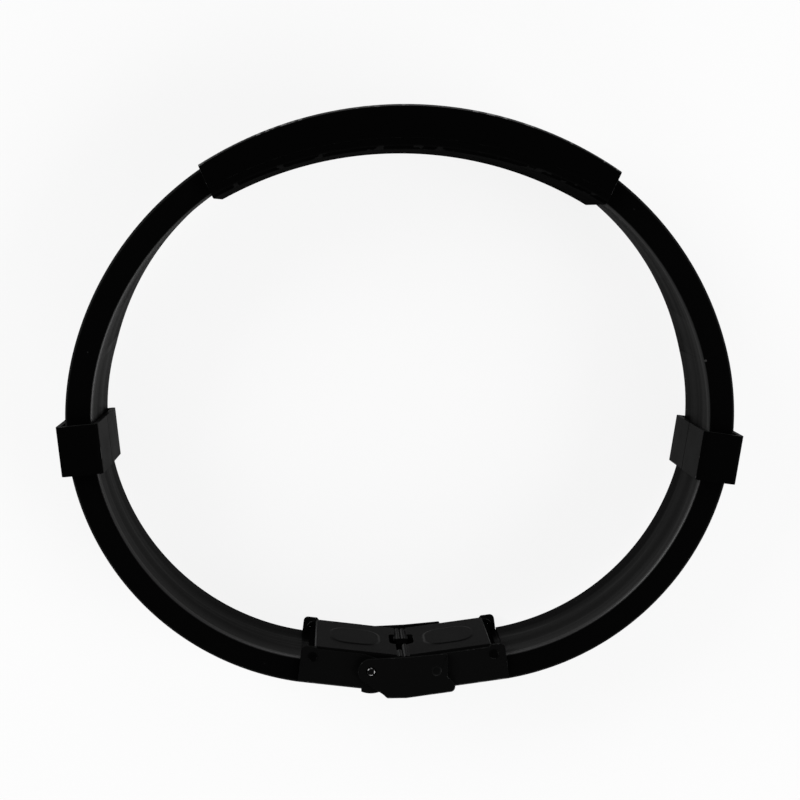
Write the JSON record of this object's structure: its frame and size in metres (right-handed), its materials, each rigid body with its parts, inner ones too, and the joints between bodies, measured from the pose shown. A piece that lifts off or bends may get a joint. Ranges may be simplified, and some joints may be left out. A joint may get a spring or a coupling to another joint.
{
  "type": "wrist strap",
  "caption": "Closed black rubber wrist band with a curved metal plate on top, metal strap loops on both sides and a folding clasp with a snap cover.",
  "frame": {"origin": "under the middle of the closed band, on the surface that its side edges lie on", "axes": "+Z across the width of the band, upwards as it lies; +Y from the clasp to the plate; +X to the right, along the long way of the oval"},
  "size_m": [0.073, 0.0634, 0.0124],
  "materials": {
    "black_rubber": "soft matte, smooth",
    "black_coated_metal": "black coating on steel, satin",
    "dark_satin_metal": "dark grey coating on steel, satin",
    "dark_pin_steel": "dark steel, polished ends"
  },
  "bodies": {
    "plate": {"plate_shell": "black_coated_metal", "plate_back": "black_coated_metal", "strap_middle": "black_rubber"},
    "left_half": {"left_strap": "black_rubber", "left_channel": "black_coated_metal", "left_end_pin": "black_coated_metal", "left_strap_pin": "dark_pin_steel"},
    "right_half": {"right_strap": "black_rubber", "right_channel": "black_coated_metal", "right_end_pin": "black_coated_metal", "right_strap_pin": "dark_pin_steel"},
    "left_blade": {"left_blade": "dark_satin_metal", "left_centre_pin": "dark_pin_steel"},
    "right_blade": {"right_blade": "dark_satin_metal", "right_centre_pin": "dark_pin_steel"},
    "hook": {"centre_hook": "black_coated_metal"},
    "cover": {"cover": "black_coated_metal"},
    "left_loop": {"left_loop": "black_coated_metal"},
    "right_loop": {"right_loop": "black_coated_metal"}
  },
  "joints": [
    {"name": "left_strap_bend", "type": "hinge", "parent": "plate", "child": "left_half", "pos_m": [-0.02103, 0.02514, 0.0062], "axis": [0, 0, -1], "range_deg": [0, 25], "stiffness_Nm_per_rad": 0.005},
    {"name": "right_strap_bend", "type": "hinge", "parent": "plate", "child": "right_half", "pos_m": [0.02243, 0.02417, 0.0062], "axis": [0, 0, 1], "range_deg": [0, 25], "stiffness_Nm_per_rad": 0.005},
    {"name": "left_blade_fold", "type": "hinge", "parent": "left_half", "child": "left_blade", "pos_m": [-0.00983, -0.02697, 0.0062], "axis": [0, 0, 1], "range_deg": [0, 90]},
    {"name": "right_blade_fold", "type": "hinge", "parent": "right_half", "child": "right_blade", "pos_m": [0.00987, -0.02697, 0.0062], "axis": [0, 0, -1], "range_deg": [0, 90]},
    {"name": "hook_lift", "type": "hinge", "parent": "left_blade", "child": "hook", "pos_m": [-0.00029, -0.02745, 0.0062], "axis": [0, 0, 1], "range_deg": [0, 60]},
    {"name": "cover_lift", "type": "hinge", "parent": "left_half", "child": "cover", "pos_m": [-0.00353, -0.02859, 0.0062], "axis": [0, 0, -1], "range_deg": [0, 80]},
    {"name": "left_loop_travel", "type": "hinge", "parent": "left_half", "child": "left_loop", "pos_m": [-0.00682, -0.00158, 0.0062], "axis": [0, 0, -1], "range_deg": [-68.5, 22.5]},
    {"name": "right_loop_travel", "type": "hinge", "parent": "right_half", "child": "right_loop", "pos_m": [0.00686, -0.00158, 0.0062], "axis": [0, 0, 1], "range_deg": [-65.5, 25.5]}
  ],
  "couplings": [
    {"joint": "right_blade_fold", "follows": "left_blade_fold", "ratio": 1}
  ]
}
